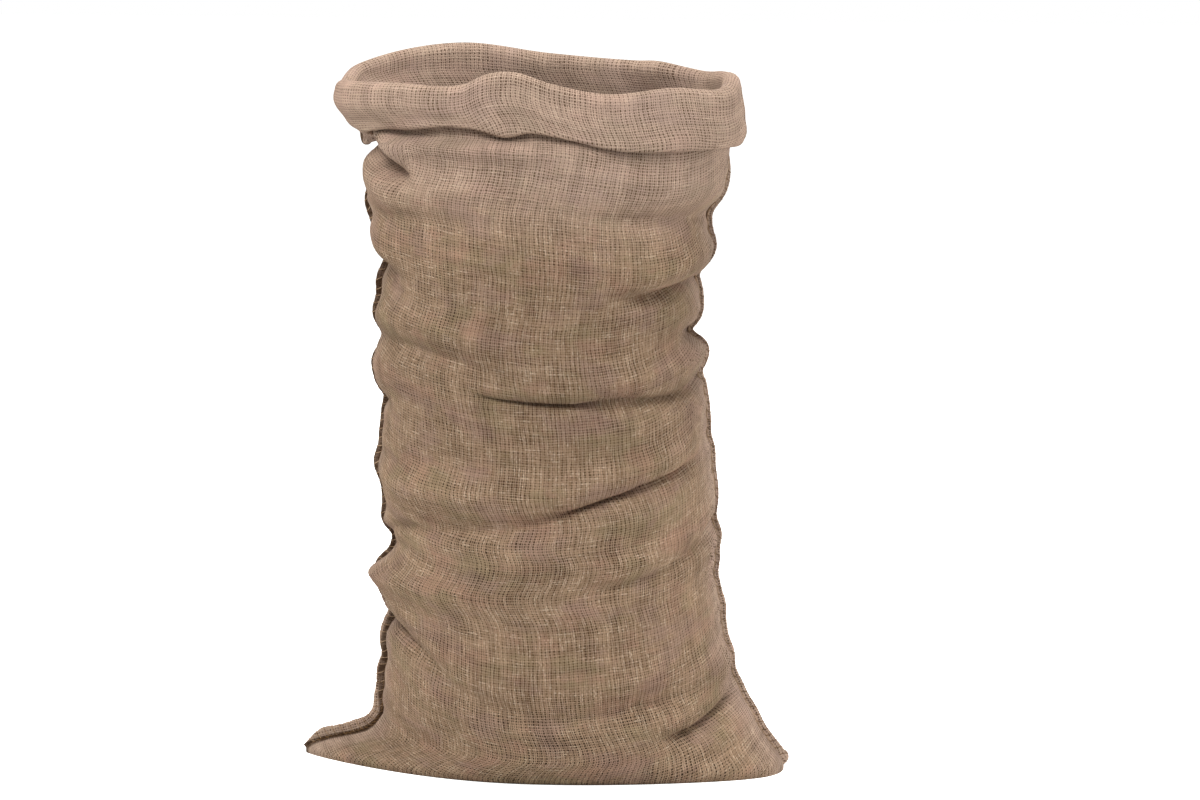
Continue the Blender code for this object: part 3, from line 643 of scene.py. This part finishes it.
def buildStitching(name, edge, side, oversewing, chain):
    # oversewing: a helix round the band, one turn to a stitch; and a two-strand chain along its
    # root, front and back
    rng = np.random.default_rng(47 + side)
    turns = int(edge["at"][-1] / seam["stitch"]) - 1
    t = np.arange(0, turns * 16 + 1) / 16
    uneven = np.interp(t, np.arange(turns + 2), rng.normal(0, 0.10, turns + 2))
    place = (t + uneven + 0.25 * np.sin(2 * math.pi * t + 0.6)) * seam["stitch"] + 0.5 * seam["stitch"]
    reach = 0.49 - 0.50 * np.cos(2 * math.pi * t)
    lift = np.sin(2 * math.pi * t) * 1.02
    lines = [(onSeam(edge, place, reach, lift), seam["yarn"], 6)]
    place = np.arange(0.004, edge["at"][-1] - 0.002, 0.0011)
    strand = seam["chainStrand"][side]
    for face in (-1, 1):
        for half in (0, math.pi):
            turn = 2 * math.pi * place / seam["chainPitch"] + half + face
            reach = 0.14 + 0.09 * np.cos(turn)
            lift = face * (0.86 + 0.30 * np.sin(turn))
            lines.append((onSeam(edge, place, reach, lift), strand * (1 + 0.15 * np.sin(turn * 1.7)), 6))
    points, faces, count, slots = [], [], 0, []
    for centre, radius, sides in lines:
        ring = sweep(centre, radius, sides, np.array([0.31, 0.17, 0.93]))
        tube = tubeFaces(len(ring), sides)
        slots += [0 if not points else 1] * len(tube)
        faces += [[corner + count for corner in face] for face in tube]
        points.append(ring.reshape(-1, 3))
        count += len(points[-1])
    sewn = newObject(name, np.concatenate(points), faces, None, oversewing)
    sewn.data.materials.append(chain)
    sewn.data.polygons.foreach_set("material_index", slots)
    return sewn


def linear(hexColour):
    # sRGB hex to linear: (c/12.92) when dark, ((c+0.055)/1.055)^2.4 otherwise
    parts = [int(hexColour[k:k + 2], 16) / 255 for k in (1, 3, 5)]
    return tuple(c / 12.92 if c <= 0.04045 else ((c + 0.055) / 1.055) ** 2.4 for c in parts) + (1.0,)


def addNode(tree, kind, inputs=(), **settings):
    # adds one node, sets its properties, and fills or links its inputs by name or number
    node = tree.nodes.new(kind)
    for name, value in settings.items():
        setattr(node, name, value)
    for key, value in dict(inputs).items():
        if isinstance(value, bpy.types.Node):
            value = value.outputs[0]
        if isinstance(value, bpy.types.NodeSocket):
            tree.links.new(value, node.inputs[key])
        else:
            node.inputs[key].default_value = value
    return node


def newMaterial(name, roughness, sheen=0.0, specular=0.2):
    material = bpy.data.materials.new(name)
    material.use_nodes = True
    shader = material.node_tree.nodes["Principled BSDF"]
    shader.inputs["Roughness"].default_value = roughness
    shader.inputs["Metallic"].default_value = 0.0
    shader.inputs["IOR"].default_value = 1.5
    shader.inputs["Specular IOR Level"].default_value = specular
    shader.inputs["Sheen Weight"].default_value = sheen
    shader.inputs["Sheen Roughness"].default_value = 0.5
    shader.inputs["Sheen Tint"].default_value = linear("#C9A98C")
    return material, shader


hessian = {
    "pairPitch": 4.50,           # mm, between the pairs of warp threads
    "pairApart": 0.195,          # each thread of a pair stands this share of the pitch from its middle
    "warpHalf": 0.190,           # half width of a warp thread, as a share of the same pitch
    "weftPitch": 2.70,           # mm, between the weft threads
    "weftHalf": 0.36,            # half width of a weft thread, as a share of its pitch
    "uneven": 0.60,              # how much the yarn's thickness varies
    "wander": 4.5,               # mm, how far the threads drift out of line
    "stray": 0.34,               # how far each strays on its own, as a share of the pitch
    "darkThread": "#7D6650",
    "midThread": "#957C65",
    "paleThread": "#A9937C",
    "greyedAndLit": "#AB9588",         # paler and greyer on the cuff and beside the seams: partly the doubled, close-woven cloth, partly painted light where the cuff is lit from above and the sides by light wrapping round
    "olive": "#857459",          # faint green-brown stains,
    "warmed": "#967462",         # reddish ones
    "dusky": "#8C7264",          # and grey-brown ones
    "paintedShadeBelt": (590.0, 50.0, 180.0, 0.87),   # painted shade: mm along the cloth to its darkest place, its reach, its tone
    # each stain's colour, its noise scale per mm, its seed and its greatest strength
    "stains": (("olive", 0.015, 43.0, 0.60), ("warmed", 0.018, 41.0, 0.50), ("dusky", 0.017, 45.0, 0.60)),
    # painted shade: the colours in the weave's gaps stand for the shaded inside of the sack seen through
    # them, less dark where the cloth is doubled and beside the seams
    "openGapShade": "#2B1E14",
    "closedGapShade": "#66503E",
    # painted shade at the seams' roots
    "seamShadeColour": "#382617",
}
# painted shade along the seams: the shade at the root where the selvedges meet the cloth and dark twine runs,
# and on the left selvedge where it lies turned away; for each line, mm across the cloth to it, the mm along
# it between which its width changes, its mm to each side below and above them, and its strength
seamRootShade = ((0.0, 225.0, 300.0, 9.0, 4.2, 0.94),)
# painted shade on the left selvedge: by its root low down, and over its whole width higher up, where it lies
# turned away in shadow
selvedgeShade = ((1000.0, 90.0, 135.0, 6.4, 12.5, 0.96),)


def hessianMaterial(name, shade=1.0, lines=()):
    # undyed jute hessian: coarse plain weave of uneven hairy yarns, the warp in pairs, dead matt;
    # the gaps open and close as the threads crowd, and odd pale or dark threads run across it
    material, shader = newMaterial(name, 0.95, sheen=0.12, specular=0.10)
    tree = material.node_tree

    def maths(operation, *values, clamp=False):
        return addNode(tree, "ShaderNodeMath", enumerate(values), operation=operation, use_clamp=clamp)

    def noise(x, y, scaleX, scaleY, seed, detail=2.0, roughness=0.5):
        # noise over two sockets, with the seed as its third coordinate
        across, up = maths("MULTIPLY", x, scaleX), maths("MULTIPLY", y, scaleY)
        place = addNode(tree, "ShaderNodeCombineXYZ", {0: across, 1: up, 2: seed})
        inputs = {"Vector": place, "Scale": 1.0, "Detail": detail, "Roughness": roughness}
        return addNode(tree, "ShaderNodeTexNoise", inputs)

    def spread(value, low, high, toLow=0.0, toHigh=1.0, smooth=False):
        # value from low to high becomes toLow to toHigh
        return addNode(tree, "ShaderNodeMapRange", {0: value, 1: low, 2: high, 3: toLow, 4: toHigh},
                       interpolation_type="SMOOTHSTEP" if smooth else "LINEAR")

    def mix(share, first, second, blend="MIX"):
        return addNode(tree, "ShaderNodeMix", {0: share, 6: first, 7: second},
                       data_type="RGBA", blend_type=blend).outputs[2]

    def crimp(position, number):
        # 1 where a thread passes over the thread at this position, -1 where it passes under
        middle = maths("SUBTRACT", position, 0.5)
        return maths("COSINE", maths("MULTIPLY", maths("ADD", middle, number), math.pi))

    def roundOf(away, half):
        # the round top of a thread: sqrt(1 - (away/half)^2)
        square = maths("POWER", maths("DIVIDE", away, half), 2.0)
        return maths("SQRT", maths("SUBTRACT", 1.0, square, clamp=True))

    uv = addNode(tree, "ShaderNodeUVMap", uv_map="cloth")
    split = addNode(tree, "ShaderNodeSeparateXYZ", {0: uv})
    u, v = maths("MULTIPLY", split.outputs[0], 1000.0), maths("MULTIPLY", split.outputs[1], 1000.0)

    # threads wander: a slow drift and a short waver, different for warp and weft
    def wander(slowX, slowY, fastX, fastY, seed):
        slow = maths("MULTIPLY", maths("SUBTRACT", noise(u, v, slowX, slowY, seed), 0.5), hessian["wander"])
        fast = maths("MULTIPLY", maths("SUBTRACT", noise(u, v, fastX, fastY, seed + 4.0), 0.5), 2.4)
        return maths("ADD", slow, fast)

    pair = maths("DIVIDE", maths("ADD", u, wander(0.020, 0.012, 0.10, 0.06, 3.1)), hessian["pairPitch"])
    weft = maths("DIVIDE", maths("ADD", v, wander(0.014, 0.022, 0.06, 0.11, 21.3)), hessian["weftPitch"])
    pairPart = maths("SUBTRACT", maths("FRACT", pair), 0.5)
    second = maths("GREATER_THAN", pairPart, 0.0)
    warpNumber = maths("ADD", maths("MULTIPLY", maths("FLOOR", pair), 2.0), second)
    weftNumber = maths("FLOOR", weft)
    # each thread also strays on its own, which leaves some gaps wide and shuts others
    warpDrift = maths("SUBTRACT", noise(warpNumber, v, 0.83, 0.035, 9.0), 0.5)
    weftDrift = maths("SUBTRACT", noise(u, weftNumber, 0.030, 0.87, 13.0), 0.5)
    warpStray = maths("MULTIPLY", warpDrift, hessian["stray"])
    weftStray = maths("MULTIPLY", weftDrift, hessian["stray"] * 2.0)
    fromThread = maths("SUBTRACT", maths("ABSOLUTE", pairPart), hessian["pairApart"])
    warpAway = maths("ABSOLUTE", maths("ADD", fromThread, warpStray))
    weftAway = maths("ABSOLUTE", maths("ADD", maths("SUBTRACT", maths("FRACT", weft), 0.5), weftStray))

    # uneven yarn: each thread has its own thickness, which changes along it; crowding closes the gaps
    streaksUp = noise(u, v, 0.040, 0.012, 33.0, detail=4.0, roughness=0.7)
    streaksAcross = noise(u, v, 0.011, 0.048, 35.0, detail=4.0, roughness=0.7)
    crowd = maths("ADD", spread(streaksUp, 0.36, 0.64, -0.20, 0.14),
                  spread(streaksAcross, 0.36, 0.64, -0.20, 0.14))
    warpBody = maths("SUBTRACT", noise(warpNumber, v, 0.91, 0.060, 5.0, detail=1.0), 0.5)
    weftBody = maths("SUBTRACT", noise(u, weftNumber, 0.050, 0.93, 15.0, detail=1.0), 0.5)
    warpGirth = maths("ADD", maths("MULTIPLY_ADD", warpBody, hessian["uneven"], 1.0), crowd)
    weftGirth = maths("ADD", maths("MULTIPLY_ADD", weftBody, hessian["uneven"] * 1.3, 1.0), crowd)
    warpHalf = maths("MULTIPLY", warpGirth, hessian["warpHalf"])
    weftHalf = maths("MULTIPLY", weftGirth, hessian["weftHalf"])
    warpHigh = maths("MULTIPLY", roundOf(warpAway, warpHalf),
                     maths("MULTIPLY_ADD", crimp(weft, warpNumber), 0.24, 0.76))
    weftHigh = maths("MULTIPLY", roundOf(weftAway, weftHalf),
                     maths("MULTIPLY_ADD", crimp(maths("MULTIPLY", pair, 2.0), weftNumber), -0.30, 0.66))
    height = maths("MAXIMUM", warpHigh, weftHigh)

    # tone of each thread, slow along it and sudden from one to the next
    warpTone = noise(warpNumber, v, 0.77, 0.050, 51.0, detail=2.0)
    weftTone = spread(noise(u, weftNumber, 0.045, 0.83, 61.0, detail=2.0), 0.0, 1.0, 0.22, 0.74)
    slub = spread(noise(u, weftNumber, 0.060, 0.91, 65.0, detail=1.0), 0.60, 0.68, 0.0, 0.28)
    weftTone = maths("ADD", weftTone, slub)
    thickPlace = spread(noise(warpNumber, v, 0.93, 0.070, 67.0, detail=1.0), 0.62, 0.70, 0.0, 0.25)
    warpTone = maths("ADD", warpTone, thickPlace)
    onTop = spread(maths("SUBTRACT", weftHigh, warpHigh), -0.08, 0.08)
    tone = addNode(tree, "ShaderNodeMix", {0: onTop, 2: warpTone, 3: weftTone}, data_type="FLOAT")
    ramped = addNode(tree, "ShaderNodeValToRGB", {0: tone})
    stops = ramped.color_ramp.elements
    stops[0].position, stops[0].color = 0.34, linear(hessian["darkThread"])
    stops[1].position, stops[1].color = 0.70, linear(hessian["paleThread"])
    middle = stops.new(0.52)
    middle.color = linear(hessian["midThread"])
    colour = ramped.outputs[0]
    for stain, scale, seed, most in hessian["stains"]:
        patches = noise(u, v, scale, scale * 1.4, seed, detail=3.0, roughness=0.6)
        there = spread(patches, 0.50, 0.66, 0.0, most, smooth=True)
        colour = mix(there, colour, linear(hessian[stain]))
    # painted light, partly the cloth's own: greyed and paler near the seams, fading out 62 mm from them,
    # where the sides catch light wrapping round, and on the cuff, lit from above; the doubled, close-woven
    # cloth there is paler too, and its gaps less dark
    besideSeam = spread(maths("PINGPONG", u, sack["width"] * 500), 6.0, 62.0, 0.50, 0.0, smooth=True)
    onCuff = spread(v, 690.0, 800.0, 0.0, 0.50, smooth=True)
    closeWovenAndLit = maths("MAXIMUM", besideSeam, onCuff)
    colour = mix(closeWovenAndLit, colour, linear(hessian["greyedAndLit"]))
    fibre = noise(u, v, 0.9, 0.9, 81.0, detail=3.0, roughness=0.7)
    # the fibres' own tone, with painted shade where the threads dip away between each other and a painted
    # highlight on their tops; shade scales it all
    fleckAndThreadShade = maths("MULTIPLY", spread(height, 0.15, 0.95, 0.62 * shade, 1.06 * shade),
                  spread(fibre, 0.3, 0.7, 0.80, 1.20))
    mottle = maths("MULTIPLY", spread(noise(u, v, 0.085, 0.012, 91.0), 0.3, 0.7, 0.90, 1.10),
                   spread(noise(u, v, 0.010, 0.10, 95.0), 0.3, 0.7, 0.91, 1.09))
    # painted shade: the cloth darkened in a slow band about its middle, below the swell under the cuff,
    # darkest round this place
    place, near, far, depth = hessian["paintedShadeBelt"]
    paintedShadeBelt = spread(maths("ABSOLUTE", maths("SUBTRACT", v, place)), near, far, depth, 1.0, smooth=True)
    tint = maths("MULTIPLY", maths("MULTIPLY", fleckAndThreadShade, mottle), paintedShadeBelt)
    colour = mix(1.0, colour, tint.outputs[0], "MULTIPLY")
    # painted shade in the gaps between the threads, where the shaded inside shows through
    cover = spread(height, 0.02, 0.42, smooth=True)
    colour = mix(cover, mix(closeWovenAndLit, linear(hessian["openGapShade"]), linear(hessian["closedGapShade"])), colour)
    # painted shade along the seam's root, where the two selvedges meet the cloth and dark twine runs, broken
    # where the twine goes under the threads
    under = spread(noise(u, v, 0.10, 0.16, 71.0, detail=1.0), 0.38, 0.55, 0.78, 1.0)
    for place, start, stop, low, high, strength in lines:
        away = maths("PINGPONG", maths("ADD", u, place), 500.0)
        reach = spread(v, start, stop, low, high)
        core = maths("MULTIPLY", reach, 0.6)
        line = maths("MULTIPLY", spread(away, core, reach, strength, 0.0, smooth=True), under)
        colour = mix(line, colour, linear(hessian["seamShadeColour"]))
    tree.links.new(colour, shader.inputs["Base Color"])
    relief = maths("MULTIPLY_ADD", fibre, 0.30, height)
    bump = addNode(tree, "ShaderNodeBump", {"Strength": 0.8, "Distance": 0.0008, "Height": relief})
    tree.links.new(bump.outputs[0], shader.inputs["Normal"])
    return material


def yarnMaterial(name, dark, pale):
    # jute sewing yarn, dead matt: blotchy along its length, its surface rough with fine fibre
    material, shader = newMaterial(name, 0.95, sheen=0.25, specular=0.12)
    tree = material.node_tree
    place = addNode(tree, "ShaderNodeTexCoord")
    blotch = addNode(tree, "ShaderNodeTexNoise",
                     {"Vector": place.outputs["Object"], "Scale": 240.0, "Detail": 3.0})
    ramped = addNode(tree, "ShaderNodeMapRange", {0: blotch, 1: 0.35, 2: 0.65})
    colour = addNode(tree, "ShaderNodeMix", {0: ramped, 6: linear(dark), 7: linear(pale)}, data_type="RGBA")
    tree.links.new(colour.outputs[2], shader.inputs["Base Color"])
    fine = addNode(tree, "ShaderNodeTexNoise",
                   {"Vector": place.outputs["Object"], "Scale": 1800.0, "Detail": 2.0})
    bump = addNode(tree, "ShaderNodeBump", {"Strength": 0.6, "Distance": 0.0004, "Height": fine})
    tree.links.new(bump.outputs[0], shader.inputs["Normal"])
    return material


def floorMaterial():
    # matt white studio paper, lit until it is blank; it throws back less light than it shows
    material, shader = newMaterial("studio paper, matt", 0.85, specular=0.1)
    tree = material.node_tree
    place = addNode(tree, "ShaderNodeTexCoord")
    grain = addNode(tree, "ShaderNodeTexNoise",
                    {"Vector": place.outputs["Object"], "Scale": 4.0, "Detail": 2.0})
    colour = addNode(tree, "ShaderNodeMix",
                     {0: grain, 6: linear("#F2F2F1"), 7: linear("#F6F6F5")}, data_type="RGBA")
    seen = addNode(tree, "ShaderNodeLightPath")
    bounced = addNode(tree, "ShaderNodeMix",
                      {0: seen.outputs["Is Camera Ray"], 6: linear("#E6E6E4"), 7: colour.outputs[2]},
                      data_type="RGBA")
    tree.links.new(bounced.outputs[2], shader.inputs["Base Color"])
    tree.links.new(colour.outputs[2], shader.inputs["Emission Color"])
    tree.links.new(seen.outputs["Is Camera Ray"], shader.inputs["Emission Strength"])
    return material


studio = {
    "floorHalf": 9.0,
    "white": "#FFFFFF",
    "ambient": 0.31,             # strength of the world as it lights the sack
    "azimuth": 7.0,              # degrees, the camera stands this far to the right of the front
    "elevation": 10.0,
    "distance": 4.5,
    "focal": 131.07,             # mm on a 36 mm sensor
    "target": (0.0, 0.0, 0.360),
    "aside": (0.0519, 0.0155),   # the view's centre lies this far right of and above the target
    # each lamp's place, aim, size in metres and power in watts
    "lamps": {
        "soft box above": ((-0.30, -1.30, 1.72), (0.0, 0.0, 0.36), 0.8, 31.5),
        "side sheet right": ((2.3, 0.20, 0.80), (0.0, 0.0, 0.32), 1.8, 45.0),
        "side sheet left": ((-2.3, 0.10, 1.10), (0.0, 0.0, 0.38), 1.8, 32.0),
        "sheet behind": ((0.4, 2.60, 1.20), (0.0, 0.0, 0.36), 1.6, 40.0),
        "sheet overhead": ((0.1, 0.15, 2.30), (0.0, 0.0, 0.36), 1.0, 25.0),
    },
}


def pointAt(thing, place, aim):
    # stands a lamp or a camera at a place and turns it, upright, to face the aim
    away = np.array(aim) - np.array(place)
    thing.location = place
    tilt = math.acos(-away[2] / np.linalg.norm(away))
    thing.rotation_euler = (tilt, 0, math.atan2(away[1], away[0]) - math.pi / 2)
    bpy.context.scene.collection.objects.link(thing)


def buildStudio():
    half = studio["floorHalf"]
    floor = newObject("floor", [(-half, -half, 0), (half, -half, 0), (half, half, 0), (-half, half, 0)],
                      [(0, 1, 2, 3)], None, floorMaterial())
    world = bpy.data.worlds.new("studio")
    world.use_nodes = True
    background = world.node_tree.nodes["Background"]
    background.inputs[0].default_value = linear(studio["white"])
    seen = addNode(world.node_tree, "ShaderNodeLightPath")
    strength = addNode(world.node_tree, "ShaderNodeMapRange",
                       {0: seen.outputs["Is Camera Ray"], 3: studio["ambient"], 4: 1.0})
    world.node_tree.links.new(strength.outputs[0], background.inputs[1])
    bpy.context.scene.world = world
    for name, (place, aim, size, power) in studio["lamps"].items():
        light = bpy.data.lights.new(name, "AREA")
        light.size = size
        light.energy = power
        pointAt(bpy.data.objects.new(name, light), place, aim)
    azimuth, elevation = math.radians(studio["azimuth"]), math.radians(studio["elevation"])
    level = math.cos(elevation)
    back = np.array([math.sin(azimuth) * level, -math.cos(azimuth) * level, math.sin(elevation)])
    right = np.array([math.cos(azimuth), math.sin(azimuth), 0])
    middle = np.array(studio["target"])
    lens = bpy.data.cameras.new("camera")
    lens.lens = studio["focal"]
    lens.sensor_width = 36.0
    lens.clip_end = 50.0
    camera = bpy.data.objects.new("camera", lens)
    pointAt(camera, middle + back * studio["distance"],
            middle + right * studio["aside"][0] + np.cross(back, right) * studio["aside"][1])
    bpy.context.scene.camera = camera
    bpy.context.scene.view_settings.view_transform = "Standard"
    print("studio ready")


buildStudio()
cloth, points = buildCloth(hessianMaterial("jute hessian, woven", lines=seamRootShade))
columns = points.shape[1]
# the selvedges take lighter copies of the cloth (shade above 1): painted light on their rolled edges
leftRoll = hessianMaterial("jute hessian, left selvedge", shade=1.14, lines=selvedgeShade)
rightRoll = hessianMaterial("jute hessian, right selvedge", shade=1.08)
paleYarn = yarnMaterial("jute oversewing yarn, undyed", "#7A614A", "#A58B70")
brownYarn = yarnMaterial("jute oversewing yarn, brown", "#57412F", "#8A7059")
# the left chain's twine is dark, and darker still as painted shade for the shadow at the seam's root
shadedDarkTwine = yarnMaterial("jute chain stitch, dark twine in painted shade", "#3F2C1C", "#62492F")
paleTwine = yarnMaterial("jute chain stitch, undyed twine", "#8A7159", "#B39A80")
leftEdge, rightEdge = edgePath(points, 0, -1), edgePath(points, columns // 2, 1)
leftSelvedge = buildSelvedge("left_selvedge", leftEdge, leftRoll)
rightSelvedge = buildSelvedge("right_selvedge", rightEdge, rightRoll)
leftStitches = buildStitching("left_stitching", leftEdge, -1, paleYarn, shadedDarkTwine)
rightStitches = buildStitching("right_stitching", rightEdge, 1, brownYarn, paleTwine)
print("seams sewn")

for piece in (cloth, leftSelvedge, rightSelvedge, leftStitches, rightStitches):
    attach(piece, "root")
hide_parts("sack_cloth")
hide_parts("left_seam")
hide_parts("right_seam")
